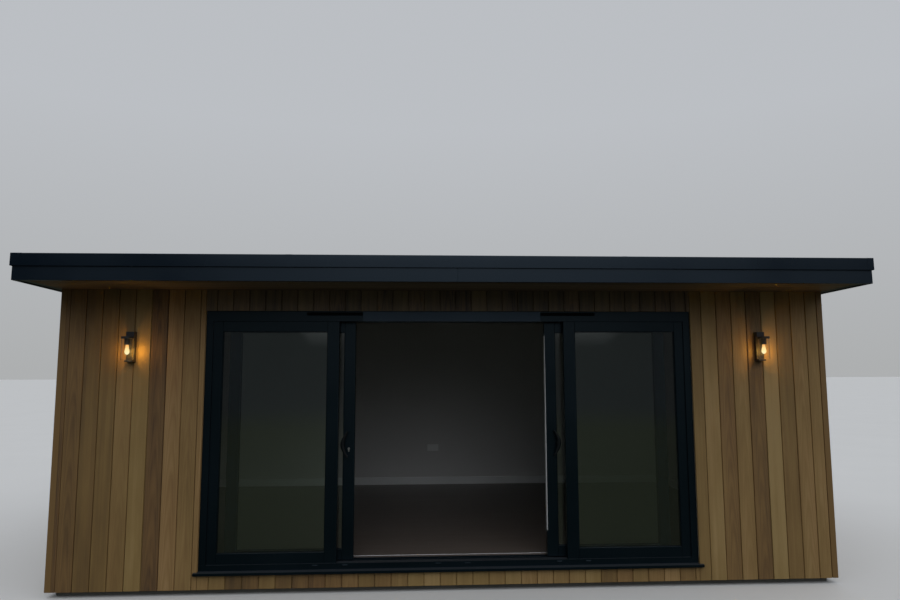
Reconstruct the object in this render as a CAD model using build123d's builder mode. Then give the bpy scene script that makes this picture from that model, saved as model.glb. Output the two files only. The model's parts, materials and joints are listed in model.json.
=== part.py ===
"""Garden office pod: a timber-clad flat-roofed room with a four-panel sliding door.

Millimetres, Z up. The origin is on the ground under the middle of the walls,
and the door looks along -Y.
"""

import os
from math import cos, radians, sin, tan

from build123d import *

# Walls, measured over the faces of the boards
wall_width = 6300
wall_depth = 3600
board_thickness = 20
panel_thickness = 150
board_bottom = 45
corner_board = 48

# Base and floor
base_inset = 60
base_thickness = 100
floor_finish = 14
floor_level = 233

# Roof: a flat deck that falls to the rear
roof_fall = 1.0
boards_over_door = 172
soffit_thickness = 18
front_overhang = 520
side_overhang = 85
rear_overhang = 60
deck_thickness = 147
membrane_thickness = 5
kerb_width = 45
kerb_height = 24
ceiling_thickness = 12.5

# Fascia boards and the roof-edge trim over them
fascia_thickness = 20
fascia_drop = 6
trim_height = 95
trim_thickness = 12
trim_lap = 6
trim_round = 4

# Rainwater goods at the rear eaves
gutter_width = 112
gutter_wall = 3
gutter_below_deck = 20
pipe_diameter = 68
pipe_bore = 62
pipe_from_corner = 260
pipe_standoff = 15
pipe_ground_gap = 70
pipe_bore_depth = 60
pipe_bend = 45
offset_drop = 120
outlet_drop = 30
outlet_length = 90
clip_count = 3
clip_first = 150
clip_pitch = 800
clip_height = 25
clip_thickness = 4
clip_back = 36

# Door frame
door_width = 4000
door_height = 2046
cill_top = 178
cill_thickness = 24
cill_nose = 25
cill_fall = 4
cill_end = 8
drip_setback = 9
drip_groove = 6
frame_setback = 20
frame_depth = 150
jamb_face = 50
head_face = 84
sill_face = 45
frame_lip = 10
lip_cover = 6
track_depth = 18
rail_width = 6
inner_lip = 8

# Sashes, alike for the fixed and the sliding panels
sash_thickness = 50
track_gap = 12
rail_face = 82
jamb_stile = 82
interlock_stile = 98
leaf_stile = 92
meeting_gap = 3
left_handle_room = 10
right_handle_room = 33
leaf_head_gap = 6
leaf_foot_gap = 6
glass_thickness = 28
glass_bite = 12
groove_depth = 14
edge_break = 3

# Rollers under the sliding panels
roller_diameter = 34
roller_width = 14
roller_inset = 160
roller_gap = 0.3

# Door furniture
handle_height = 1128
handle_length = 186
handle_inset = 15
handle_bulge = 50
handle_standoff = 38
handle_grip = 14
handle_depth = 12
handle_edge = 3
handle_foot = 16
lock_height = 1104
lock_diameter = 18
lock_stem = 10
lock_length = 34
lock_thickness = 6
key_slot_length = 9
key_slot_width = 2.5
seal_width = 34
seal_thickness = 4
seal_foot = 205
seal_head = 110

# Drain slots along the front of the sill, in pairs
drain_pairs = 3
drain_pitch = 975
drain_spread = 235
drain_length = 26
drain_height = 6
drain_depth = 4
drain_level = 30

# Slot vents on the head of the door frame
vent_past_edge = 38
vent_length = 455
vent_height = 24
vent_depth = 11
vent_level = 61
vent_slot_length = 50
vent_slot_height = 7
vent_slot_pitch = 62
vent_slot_count = 7
vent_slot_depth = 5
vent_edge = 3

# Threshold strip, skirting and socket
strip_width = 40
strip_thickness = 3
skirting_height = 95
skirting_thickness = 15
skirting_bevel = 6
socket_width = 146
socket_height = 86
socket_thickness = 10
socket_across = -80
socket_level = 706
socket_radius = 5

# Wall lamps, one each side of the door
lamp_beside_door = 572
lamp_plate_width = 64
lamp_plate_height = 240
lamp_plate_thickness = 36
lamp_plate_bottom = 1810
lamp_block_height = 40
lamp_block_reach = 55
lamp_ledge_thickness = 14
lamp_ledge_reach = 66
lamp_reach = 95
lamp_cap_diameter = 96
lamp_cap_thickness = 18
lamp_glass_diameter = 88
lamp_glass_wall = 3
holder_diameter = 46
holder_length = 48
bulb_diameter = 40
bulb_neck = 22
bulb_length = 78

# Places worked out from the sizes above
half_width = wall_width / 2
front_face = -wall_depth / 2
rear_face = wall_depth / 2
shell_x = half_width - board_thickness
shell_front = front_face + board_thickness
shell_rear = rear_face - board_thickness
room_x = shell_x - panel_thickness
room_front = shell_front + panel_thickness
room_rear = shell_rear - panel_thickness
half_door = door_width / 2
lamp_across = half_door + lamp_beside_door
door_top = cill_top + door_height
soffit_height = door_top + boards_over_door
cill_bottom = cill_top - cill_thickness
sill_top = cill_top + sill_face
head_bottom = door_top - head_face

fall = radians(roof_fall)
slope = Vector(0, cos(fall), -sin(fall))
roof_plane = Plane(
    origin=(0, front_face, soffit_height),
    x_dir=(1, 0, 0),
    z_dir=(0, sin(fall), cos(fall)),
)
fascia_x = half_width + side_overhang
deck_x = fascia_x - fascia_thickness
fascia_front = -front_overhang
deck_front = fascia_front + fascia_thickness
fascia_rear = (wall_depth + rear_overhang) / cos(fall)
deck_rear = fascia_rear - fascia_thickness
deck_top = soffit_thickness + deck_thickness
membrane_top = deck_top + membrane_thickness
kerb_top = deck_top + kerb_height
trim_top = kerb_top + trim_lap
trim_front = fascia_front - trim_thickness
trim_x = fascia_x + trim_thickness

frame_front = front_face + frame_setback
frame_rear = frame_front + frame_depth
fixed_front = frame_front + frame_lip
leaf_front = fixed_front + sash_thickness + track_gap
leaf_middle = leaf_front + sash_thickness / 2
channel_front = leaf_front - track_gap / 2
fixed_jamb = half_door - jamb_face
leaf_width = (fixed_jamb + interlock_stile - meeting_gap) / 2
fixed_edge = fixed_jamb - leaf_width
handle_reach = leaf_stile / 2 + handle_inset + handle_bulge + handle_grip / 2
left_open = fixed_edge - handle_reach - left_handle_room
right_open = fixed_edge - handle_reach - right_handle_room
leaf_bottom = sill_top + leaf_foot_gap
leaf_top = head_bottom - leaf_head_gap


def rect(across, along, mode=Mode.ADD):
    """A rectangle between two limits each way on the sketch plane."""
    with Locations(((across[0] + across[1]) / 2, (along[0] + along[1]) / 2)):
        Rectangle(across[1] - across[0], along[1] - along[0], mode=mode)


def roof_height(y, rise):
    """Height at y of the sloping plane that lies rise above the soffit's underside."""
    return soffit_height - (y - front_face) * tan(fall) + rise / cos(fall)


def sloped(y_low, y_high, bottom, rise):
    """Side view of a wall whose top follows the roof."""
    Polygon(
        (y_low, bottom),
        (y_high, bottom),
        (y_high, roof_height(y_high, rise)),
        (y_low, roof_height(y_low, rise)),
        align=None,
    )


def save(name, piece):
    piece.part.label = name
    export_step(piece.part, f"parts/{name}.step")


os.makedirs("parts", exist_ok=True)

# Base slab, set back under the boards so that it stays in their shadow
with BuildPart() as base_slab:
    with BuildSketch(Plane.XY):
        Rectangle(wall_width - 2 * base_inset, wall_depth - 2 * base_inset)
    extrude(amount=base_thickness)
save("base_slab", base_slab)

# Insulated floor deck, rebated at the front to take the door's cill
with BuildPart() as floor_deck:
    with BuildSketch(Plane.XY.offset(base_thickness)):
        rect((-shell_x, shell_x), (shell_front, shell_rear))
    extrude(amount=floor_level - floor_finish - base_thickness)
    with BuildSketch(Plane.XY.offset(cill_bottom)):
        rect((-half_door, half_door), (shell_front, frame_rear))
    extrude(amount=floor_level, mode=Mode.SUBTRACT)
save("floor_deck", floor_deck)

with BuildPart() as floor_boards:
    with BuildSketch(Plane.XY.offset(floor_level - floor_finish)):
        rect((-room_x, room_x), (frame_rear, room_rear))
    extrude(amount=floor_finish)
save("floor_boards", floor_boards)

# Structural wall panels, with tops that follow the roof
panel_bottom = floor_level - floor_finish
for name, x_low, x_high in (
    ("left_wall", -shell_x, -room_x),
    ("right_wall", room_x, shell_x),
):
    with BuildPart() as side_wall:
        with BuildSketch(Plane.YZ.offset(x_low)):
            sloped(shell_front, shell_rear, panel_bottom, soffit_thickness)
        extrude(amount=x_high - x_low)
    save(name, side_wall)

for name, x_low, x_high, y_low, y_high, bottom in (
    ("front_wall_left", -room_x, -half_door, shell_front, room_front, panel_bottom),
    ("front_wall_right", half_door, room_x, shell_front, room_front, panel_bottom),
    ("front_wall_header", -half_door, half_door, shell_front, room_front, door_top),
    ("rear_wall", -room_x, room_x, room_rear, shell_rear, panel_bottom),
):
    with BuildPart() as cross_wall:
        with BuildSketch(Plane.YZ.offset(x_low)):
            sloped(y_low, y_high, bottom, soffit_thickness)
        extrude(amount=x_high - x_low)
    save(name, cross_wall)

# Upright boarding, one skin to each stretch of wall
boards_x = half_width - corner_board
for name, x_low, x_high in (
    ("left_cladding", -half_width, -shell_x),
    ("right_cladding", shell_x, half_width),
):
    with BuildPart() as side_boards:
        with BuildSketch(Plane.YZ.offset(x_low)):
            sloped(front_face + corner_board, rear_face - corner_board, board_bottom, 0)
        extrude(amount=x_high - x_low)
    save(name, side_boards)

for name, x_low, x_high, y_low, y_high, bottom in (
    ("front_cladding_left", -boards_x, -half_door, front_face, shell_front, board_bottom),
    ("front_cladding_right", half_door, boards_x, front_face, shell_front, board_bottom),
    ("front_cladding_header", -half_door, half_door, front_face, shell_front, door_top),
    ("rear_cladding", -boards_x, boards_x, shell_rear, rear_face, board_bottom),
):
    with BuildPart() as cross_boards:
        with BuildSketch(Plane.YZ.offset(x_low)):
            sloped(y_low, y_high, bottom, 0)
        extrude(amount=x_high - x_low)
    save(name, cross_boards)

with BuildPart() as front_cladding_plinth:
    with BuildSketch(Plane.XY.offset(board_bottom)):
        rect((-half_door, half_door), (front_face, shell_front))
    extrude(amount=cill_bottom - board_bottom)
save("front_cladding_plinth", front_cladding_plinth)

# Corner boards: an angle of two boards at each corner of the walls
with BuildPart() as corner_boards:
    with BuildSketch(Plane.XY.offset(board_bottom)):
        Rectangle(wall_width, wall_depth)
        Rectangle(2 * boards_x, wall_depth, mode=Mode.SUBTRACT)
        Rectangle(wall_width, wall_depth - 2 * corner_board, mode=Mode.SUBTRACT)
        Rectangle(2 * shell_x, wall_depth - 2 * board_thickness, mode=Mode.SUBTRACT)
    extrude(amount=soffit_height)
    split(bisect_by=roof_plane, keep=Keep.BOTTOM)
save("corner_boards", corner_boards)

# Roof deck with a raised kerb along the front and both sides
with BuildPart() as roof_deck:
    with BuildSketch(roof_plane.offset(soffit_thickness)):
        rect((-deck_x, deck_x), (deck_front, deck_rear))
    extrude(amount=deck_thickness)
    with BuildSketch(roof_plane.offset(deck_top)):
        rect((-deck_x, deck_x), (deck_front, deck_rear))
        rect(
            (-deck_x + kerb_width, deck_x - kerb_width),
            (deck_front + kerb_width, deck_rear),
            mode=Mode.SUBTRACT,
        )
    extrude(amount=kerb_height)
save("roof_deck", roof_deck)

membrane_x = deck_x - kerb_width
with BuildPart() as roof_membrane:
    with BuildSketch(roof_plane.offset(deck_top)):
        rect((-membrane_x, membrane_x), (deck_front + kerb_width, fascia_rear))
    extrude(amount=membrane_thickness)
save("roof_membrane", roof_membrane)

with BuildPart() as ceiling_lining:
    with BuildSketch(roof_plane.offset(soffit_thickness)):
        rect((-room_x, room_x), (room_front - front_face, room_rear - front_face))
    extrude(amount=-ceiling_thickness)
save("ceiling_lining", ceiling_lining)

# Soffit boards under the overhangs
with BuildPart() as front_soffit:
    with BuildSketch(roof_plane):
        rect((-deck_x, deck_x), (deck_front, 2 * board_thickness))
    extrude(amount=soffit_thickness)
    split(bisect_by=Plane.XZ.offset(-shell_front), keep=Keep.TOP)
save("front_soffit", front_soffit)

with BuildPart() as side_soffits:
    with BuildSketch(roof_plane):
        rect((-deck_x, deck_x), (0, deck_rear))
        rect((-shell_x, shell_x), (0, deck_rear), mode=Mode.SUBTRACT)
    extrude(amount=soffit_thickness)
    split(bisect_by=Plane.XZ.offset(-shell_front), keep=Keep.BOTTOM)
save("side_soffits", side_soffits)

with BuildPart() as rear_soffit:
    with BuildSketch(roof_plane):
        rect((-shell_x, shell_x), (room_rear - front_face, deck_rear))
    extrude(amount=soffit_thickness)
    split(bisect_by=Plane.XZ.offset(-shell_rear), keep=Keep.BOTTOM)
save("rear_soffit", rear_soffit)


def mitre(side, x_corner, s_corner):
    """Cutting plane through a front corner of the roof, facing away from the front run."""
    corner = roof_plane.from_local_coords((side * x_corner, s_corner, 0))
    return Plane(origin=corner, z_dir=Vector(side, 0, 0) + slope)


# Fascia boards, mitred at the front corners
fascia_face = -fascia_drop
with BuildPart() as front_fascia:
    with BuildSketch(roof_plane.offset(fascia_face)):
        rect((-fascia_x, fascia_x), (fascia_front, deck_front))
    extrude(amount=kerb_top - fascia_face)
    for side in (-1, 1):
        split(bisect_by=mitre(side, fascia_x, fascia_front), keep=Keep.BOTTOM)
save("front_fascia", front_fascia)

for name, side in (("left_fascia", -1), ("right_fascia", 1)):
    with BuildPart() as side_fascia:
        with BuildSketch(roof_plane.offset(fascia_face)):
            rect(sorted((side * deck_x, side * fascia_x)), (fascia_front, deck_rear))
        extrude(amount=kerb_top - fascia_face)
        split(bisect_by=mitre(side, fascia_x, fascia_front), keep=Keep.TOP)
    save(name, side_fascia)

with BuildPart() as rear_fascia:
    with BuildSketch(roof_plane.offset(fascia_face)):
        rect((-fascia_x, fascia_x), (deck_rear, fascia_rear))
    extrude(amount=deck_top - fascia_face)
save("rear_fascia", rear_fascia)

# Roof-edge trim: a capping folded over the fascia and the kerb, mitred at the corners
trim_bottom = trim_top - trim_height
trim_profile = (
    (-trim_thickness, trim_bottom),
    (0, trim_bottom),
    (0, kerb_top),
    (fascia_thickness + kerb_width, kerb_top),
    (fascia_thickness + kerb_width, membrane_top),
    (fascia_thickness + kerb_width + trim_lap, membrane_top),
    (fascia_thickness + kerb_width + trim_lap, trim_top),
    (-trim_thickness, trim_top),
)
front_edge = roof_plane.from_local_coords((-trim_x, fascia_front, 0))
with BuildPart() as front_trim:
    with BuildSketch(Plane(origin=front_edge, x_dir=slope, z_dir=(1, 0, 0))) as section:
        Polygon(*trim_profile, align=None)
        fillet(section.vertices().group_by(Axis.X)[0].sort_by(Axis.Y)[-1], trim_round)
    extrude(amount=2 * trim_x)
    for side in (-1, 1):
        split(bisect_by=mitre(side, trim_x, trim_front), keep=Keep.BOTTOM)
save("front_trim", front_trim)

for name, side in (("left_trim", -1), ("right_trim", 1)):
    edge = roof_plane.from_local_coords((side * fascia_x, trim_front, 0))
    with BuildPart() as side_trim:
        with BuildSketch(Plane(origin=edge, x_dir=(-side, 0, 0), z_dir=side * slope)) as section:
            Polygon(*trim_profile, align=None)
            fillet(section.vertices().group_by(Axis.X)[0].sort_by(Axis.Y)[-1], trim_round)
        extrude(amount=side * (fascia_rear - trim_front))
        split(bisect_by=mitre(side, trim_x, trim_front), keep=Keep.TOP)
    save(name, side_trim)

# Half-round gutter along the rear fascia, with its stop ends
gutter_top = roof_height(rear_face + rear_overhang, deck_top) - gutter_below_deck
gutter_radius = gutter_width / 2
gutter_y = rear_face + rear_overhang + deck_top * sin(fall) + gutter_radius
pipe_x = half_width - pipe_from_corner
neck_top = gutter_top - gutter_radius - outlet_drop
with BuildPart() as rear_gutter:
    with BuildSketch(Plane.YZ.offset(-fascia_x)):
        with Locations((gutter_y, gutter_top)):
            Circle(gutter_radius)
            Rectangle(
                gutter_width, gutter_radius,
                align=(Align.CENTER, Align.MIN), mode=Mode.SUBTRACT,
            )
    extrude(amount=2 * fascia_x)
    with BuildSketch(Plane.XY.offset(neck_top)):
        with Locations((pipe_x, gutter_y)):
            Circle(pipe_diameter / 2 + gutter_wall)
    extrude(amount=gutter_radius)
    with BuildSketch(Plane.YZ.offset(-fascia_x + gutter_wall)):
        with Locations((gutter_y, gutter_top)):
            Circle(gutter_radius - gutter_wall)
    extrude(amount=2 * (fascia_x - gutter_wall), mode=Mode.SUBTRACT)
    with BuildSketch(Plane.XY.offset(neck_top)):
        with Locations((pipe_x, gutter_y)):
            Circle(pipe_bore / 2)
    extrude(amount=gutter_radius, mode=Mode.SUBTRACT)
save("rear_gutter", rear_gutter)

# Downpipe: a swan neck from the gutter's outlet back to the wall, then straight down
pipe_y = rear_face + pipe_standoff + pipe_diameter / 2
pipe_foot = board_bottom + pipe_ground_gap
clip_radius = pipe_diameter / 2 + clip_thickness
with BuildPart() as rear_downpipe:
    with BuildLine() as pipe_route:
        FilletPolyline(
            (pipe_x, gutter_y, neck_top),
            (pipe_x, gutter_y, neck_top - outlet_length),
            (pipe_x, pipe_y, neck_top - outlet_length - offset_drop),
            (pipe_x, pipe_y, pipe_foot),
            radius=pipe_bend,
        )
    with BuildSketch(Plane(origin=pipe_route.line @ 0, z_dir=pipe_route.line % 0)):
        Circle(pipe_diameter / 2)
    sweep()
    for clip in range(clip_count):
        with BuildSketch(Plane.XY.offset(pipe_foot + clip_first + clip * clip_pitch)):
            with Locations((pipe_x, pipe_y)):
                Circle(clip_radius)
            rect((pipe_x - clip_back / 2, pipe_x + clip_back / 2), (rear_face, pipe_y))
        extrude(amount=clip_height)
    with BuildSketch(Plane.XY.offset(pipe_foot)):
        with Locations((pipe_x, pipe_y)):
            Circle(pipe_bore / 2)
    extrude(amount=pipe_bore_depth, mode=Mode.SUBTRACT)
save("rear_downpipe", rear_downpipe)

# Door cill: a sloping nose in front of the boards, level under the frame
with BuildPart() as door_cill:
    with BuildSketch(Plane.YZ.offset(-half_door + cill_end)):
        Polygon(
            (front_face - cill_nose, cill_bottom),
            (frame_rear, cill_bottom),
            (frame_rear, cill_top),
            (frame_front, cill_top),
            (front_face - cill_nose, cill_top - cill_fall),
            align=None,
        )
        with Locations((front_face - cill_nose + drip_setback, cill_bottom)):
            Circle(drip_groove / 2, mode=Mode.SUBTRACT)
    extrude(amount=door_width - 2 * cill_end)
save("door_cill", door_cill)

# Sill of the door frame: fixed panels stand at the front, the sliding ones run on a rail
rail_low = leaf_middle - rail_width / 2
rail_high = leaf_middle + rail_width / 2
channel_floor = sill_top - track_depth
channel_rear = frame_rear - inner_lip
with BuildPart() as door_sill:
    with BuildSketch(Plane.YZ.offset(-half_door)):
        rect((frame_front, frame_rear), (cill_top, sill_top))
        rect((channel_front, channel_rear), (channel_floor, sill_top), mode=Mode.SUBTRACT)
        rect((rail_low, rail_high), (channel_floor, sill_top))
    extrude(amount=door_width)
    with BuildSketch(Plane.XZ.offset(-frame_front)):
        with Locations((0, cill_top + drain_level)):
            with GridLocations(drain_pitch, 1, drain_pairs, 1):
                with GridLocations(drain_spread, 1, 2, 1):
                    SlotOverall(drain_length, drain_height)
    extrude(amount=-drain_depth, mode=Mode.SUBTRACT)
save("door_sill", door_sill)

with BuildPart() as door_head:
    with BuildSketch(Plane.YZ.offset(-half_door)):
        rect((frame_front, frame_rear), (head_bottom, door_top))
        rect((channel_front, channel_rear), (head_bottom, head_bottom + track_depth), mode=Mode.SUBTRACT)
    extrude(amount=door_width)
save("door_head", door_head)

# Slot vents over the inner edges of the fixed panels
vent_across = fixed_edge + vent_past_edge
with BuildPart() as head_vents:
    for side in (-1, 1):
        with BuildSketch(Plane.XZ.offset(-frame_front)) as outline:
            with Locations((side * vent_across, head_bottom + vent_level)):
                Rectangle(vent_length, vent_height)
            chamfer(outline.vertices(), vent_edge)
        extrude(amount=vent_depth)
    with BuildSketch(Plane.XZ.offset(-frame_front + vent_depth)):
        for side in (-1, 1):
            with Locations((side * vent_across, head_bottom + vent_level)):
                with GridLocations(vent_slot_pitch, 1, vent_slot_count, 1):
                    Rectangle(vent_slot_length, vent_slot_height)
    extrude(amount=-vent_slot_depth, mode=Mode.SUBTRACT)
save("head_vents", head_vents)

# Jambs: the front lip covers the edge of the fixed sashes
with BuildPart() as door_jambs:
    with BuildSketch(Plane.XY.offset(sill_top)):
        rect((-half_door, -fixed_jamb), (frame_front, frame_rear))
        rect((fixed_jamb, half_door), (frame_front, frame_rear))
        rect((-fixed_jamb, -fixed_jamb + lip_cover), (frame_front, fixed_front))
        rect((fixed_jamb - lip_cover, fixed_jamb), (frame_front, fixed_front))
    extrude(amount=head_bottom - sill_top)
save("door_jambs", door_jambs)


def stiles(bars, front, bottom, top):
    """Upright bars, each given as its two edges and the side its glass lies on."""
    middle = front + sash_thickness / 2
    groove = (middle - glass_thickness / 2, middle + glass_thickness / 2)
    with BuildPart() as piece:
        with BuildSketch(Plane.XY.offset(bottom)) as plan:
            for x_low, x_high, glass_side in bars:
                rect((x_low, x_high), (front, front + sash_thickness))
            chamfer(plan.vertices(), edge_break)
            for x_low, x_high, glass_side in bars:
                inner = x_high if glass_side > 0 else x_low
                rect(sorted((inner, inner - glass_side * groove_depth)), groove, mode=Mode.SUBTRACT)
        extrude(amount=top - bottom)
    return piece


def rails(spans, front, bottom, top):
    """Bars along the foot and the head of each span, grooved for the glass."""
    middle = front + sash_thickness / 2
    groove = (middle - glass_thickness / 2, middle + glass_thickness / 2)
    glass_room = (bottom + rail_face - groove_depth, top - rail_face + groove_depth)
    with BuildPart() as piece:
        for x_low, x_high in spans:
            with BuildSketch(Plane.YZ.offset(x_low)):
                rect((front, front + sash_thickness), (bottom, bottom + rail_face))
                rect((front, front + sash_thickness), (top - rail_face, top))
                rect(groove, glass_room, mode=Mode.SUBTRACT)
            extrude(amount=x_high - x_low)
    return piece


def panes(spans, front, bottom, top):
    """Sealed glass units that sit in the grooves of their sashes."""
    middle = front + sash_thickness / 2
    with BuildPart() as piece:
        with BuildSketch(Plane.XY.offset(bottom + rail_face - glass_bite)):
            for x_low, x_high in spans:
                rect(
                    (x_low - glass_bite, x_high + glass_bite),
                    (middle - glass_thickness / 2, middle + glass_thickness / 2),
                )
        extrude(amount=top - bottom - 2 * (rail_face - glass_bite))
    return piece


# Fixed panels, one against each jamb
fixed_spans = (
    (-fixed_jamb + jamb_stile, -fixed_edge - interlock_stile),
    (fixed_edge + interlock_stile, fixed_jamb - jamb_stile),
)
fixed_bars = (
    (-fixed_jamb, fixed_spans[0][0], 1),
    (fixed_spans[0][1], -fixed_edge, -1),
    (fixed_edge, fixed_spans[1][0], 1),
    (fixed_spans[1][1], fixed_jamb, -1),
)
save("fixed_sash_stiles", stiles(fixed_bars, fixed_front, sill_top, head_bottom))
save("fixed_sash_rails", rails(fixed_spans, fixed_front, sill_top, head_bottom))
save("fixed_glass", panes(fixed_spans, fixed_front, sill_top, head_bottom))


def leaf_rails(x_low, x_high):
    """Head and foot rails of a sliding panel, with the rollers it runs on."""
    roller_z = sill_top + roller_gap + roller_diameter / 2
    with BuildPart() as piece:
        add(rails([(x_low, x_high)], leaf_front, leaf_bottom, leaf_top).part)
        with BuildSketch(Plane.XZ.offset(-(leaf_middle + roller_width / 2))):
            with Locations((x_low + roller_inset, roller_z), (x_high - roller_inset, roller_z)):
                Circle(roller_diameter / 2)
        extrude(amount=roller_width)
    return piece


def bow_handle(x_stile, side):
    """A bowed pull handle that arches away from the opening, on two round feet."""
    grip_y = leaf_front - handle_standoff
    ends = [
        (x_stile, grip_y, handle_height - handle_length / 2),
        (x_stile, grip_y, handle_height + handle_length / 2),
    ]
    crown = (x_stile + side * handle_bulge, grip_y, handle_height)
    with BuildPart() as piece:
        with BuildLine() as bow:
            ThreePointArc(ends[0], crown, ends[1])
        with BuildSketch(Plane(origin=bow.line @ 0, x_dir=(0, 1, 0), z_dir=bow.line % 0)) as section:
            Rectangle(handle_depth, handle_grip)
            chamfer(section.vertices(), handle_edge)
        sweep()
        with BuildSketch(Plane.XZ.offset(-leaf_front)):
            with Locations(*[(x, z) for x, y, z in ends]):
                Circle(handle_foot / 2)
        extrude(amount=handle_standoff)
    return piece


seal_limits = (
    (leaf_middle - seal_width / 2, leaf_middle + seal_width / 2),
    (leaf_bottom + seal_foot, leaf_top - seal_head),
)

# Sliding panels behind the fixed ones, drawn as far open as they stand in use
for name, side, edge in (("left_leaf", -1, left_open), ("right_leaf", 1, right_open)):
    meeting = (side * edge, side * (edge + leaf_stile))
    hanging = (side * (edge + leaf_width - leaf_stile), side * (edge + leaf_width))
    span = tuple(sorted((meeting[1], hanging[0])))
    bars = ((*sorted(meeting), side), (*sorted(hanging), -side))
    with BuildPart() as leaf_stiles:
        add(stiles(bars, leaf_front, leaf_bottom, leaf_top).part)
        if side > 0:
            with BuildSketch(Plane.YZ.offset(edge)):
                rect(*seal_limits)
            extrude(amount=seal_thickness, mode=Mode.SUBTRACT)
    save(f"{name}_stiles", leaf_stiles)
    save(f"{name}_rails", leaf_rails(*span))
    save(f"{name}_glass", panes([span], leaf_front, leaf_bottom, leaf_top))
    save(f"{name}_handle", bow_handle(side * (edge + leaf_stile / 2 + handle_inset), side))

# Brush seal let into the meeting edge of the right panel
with BuildPart() as right_leaf_seal:
    with BuildSketch(Plane.YZ.offset(right_open)):
        rect(*seal_limits)
    extrude(amount=seal_thickness)
save("right_leaf_seal", right_leaf_seal)

# Lock cylinder below the left handle: a round head over a narrower stem
with BuildPart() as left_leaf_lock:
    with BuildSketch(Plane.XZ.offset(-leaf_front)):
        with Locations((-left_open - leaf_stile / 2, lock_height)):
            Circle(lock_diameter / 2)
        with Locations((-left_open - leaf_stile / 2, lock_height + lock_diameter / 2 - lock_length / 2)):
            SlotOverall(lock_length, lock_stem, rotation=90)
    extrude(amount=lock_thickness)
    with BuildSketch(Plane.XZ.offset(-leaf_front + lock_thickness)):
        with Locations((-left_open - leaf_stile / 2, lock_height)):
            SlotOverall(key_slot_length, key_slot_width, rotation=90)
    extrude(amount=-lock_thickness / 2, mode=Mode.SUBTRACT)
save("left_leaf_lock", left_leaf_lock)

# Metal strip over the joint between the door frame and the floor
with BuildPart() as threshold_strip:
    with BuildSketch(Plane.XY.offset(floor_level)):
        rect((-fixed_jamb, fixed_jamb), (frame_rear, frame_rear + strip_width))
    extrude(amount=strip_thickness)
save("threshold_strip", threshold_strip)

# Skirting round the room, stopped at the doorway
with BuildPart() as skirting:
    with BuildSketch(Plane.XY.offset(floor_level)):
        rect((-room_x, room_x), (room_front, room_rear))
        rect(
            (-room_x + skirting_thickness, room_x - skirting_thickness),
            (room_front + skirting_thickness, room_rear - skirting_thickness),
            mode=Mode.SUBTRACT,
        )
        rect((-half_door, half_door), (room_front, room_front + skirting_thickness), mode=Mode.SUBTRACT)
    extrude(amount=skirting_height)
    room_edges = skirting.edges().group_by(Axis.Z)[-1].filter_by(
        lambda edge: abs(edge.center().X) < room_x and room_front < edge.center().Y < room_rear
    )
    chamfer(room_edges.filter_by(lambda edge: edge.length > 2 * skirting_thickness), skirting_bevel)
save("skirting", skirting)

# Double socket on the rear wall
with BuildPart() as wall_socket:
    with BuildSketch(Plane.XZ.offset(-room_rear)):
        with Locations((socket_across, socket_level)):
            RectangleRounded(socket_width, socket_height, socket_radius)
    extrude(amount=socket_thickness)
save("wall_socket", wall_socket)

# Wall lamps: back plate, head block over a round cap, glass cylinder on a ledge
lamp_top = lamp_plate_bottom + lamp_plate_height
cap_top = lamp_top - lamp_block_height
cap_bottom = cap_top - lamp_cap_thickness
ledge_top = lamp_plate_bottom + lamp_ledge_thickness
lamp_y = front_face - lamp_reach
lamp_spots = ((-lamp_across, lamp_y), (lamp_across, lamp_y))
with BuildPart() as lamp_brackets:
    with BuildSketch(Plane.XZ.offset(-front_face)):
        for x, y in lamp_spots:
            with Locations((x, (lamp_plate_bottom + lamp_top) / 2)):
                Rectangle(lamp_plate_width, lamp_plate_height)
    extrude(amount=lamp_plate_thickness)
    with BuildSketch(Plane.XZ.offset(-front_face)):
        for x, y in lamp_spots:
            with Locations((x, (cap_top + lamp_top) / 2)):
                Rectangle(lamp_plate_width, lamp_block_height)
    extrude(amount=lamp_block_reach)
    with BuildSketch(Plane.XZ.offset(-front_face)):
        for x, y in lamp_spots:
            with Locations((x, (lamp_plate_bottom + ledge_top) / 2)):
                Rectangle(lamp_plate_width, lamp_ledge_thickness)
    extrude(amount=lamp_ledge_reach)
    with BuildSketch(Plane.XY.offset(cap_bottom)):
        with Locations(*lamp_spots):
            Circle(lamp_cap_diameter / 2)
    extrude(amount=lamp_cap_thickness)
    with BuildSketch(Plane.XY.offset(cap_bottom)):
        with Locations(*lamp_spots):
            Circle(holder_diameter / 2)
    extrude(amount=-holder_length)
save("lamp_brackets", lamp_brackets)

with BuildPart() as lamp_glasses:
    with BuildSketch(Plane.XY.offset(ledge_top)):
        with Locations(*lamp_spots):
            Circle(lamp_glass_diameter / 2)
            Circle(lamp_glass_diameter / 2 - lamp_glass_wall, mode=Mode.SUBTRACT)
    extrude(amount=cap_bottom - ledge_top)
save("lamp_glasses", lamp_glasses)

# Bulbs: a long neck under the holder that swells to a rounded tip
bulb_top = cap_bottom - holder_length
bulb_crown = bulb_length - bulb_diameter / 2
with BuildPart() as lamp_bulbs:
    for x, y in lamp_spots:
        with BuildSketch(Plane(origin=(x, y, bulb_top), x_dir=(1, 0, 0), z_dir=(0, -1, 0))):
            with BuildLine():
                Line((0, 0), (bulb_neck / 2, 0))
                Spline(
                    (bulb_neck / 2, 0), (bulb_diameter / 2, -bulb_crown),
                    tangents=((0, -1), (0, -1)),
                )
                RadiusArc((bulb_diameter / 2, -bulb_crown), (0, -bulb_length), bulb_diameter / 2)
                Line((0, -bulb_length), (0, 0))
            make_face()
        revolve(axis=Axis((x, y, 0), (0, 0, 1)))
save("lamp_bulbs", lamp_bulbs)
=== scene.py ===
import json
import math
import random

import bmesh
import bpy
from mathutils import Matrix, Vector


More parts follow.
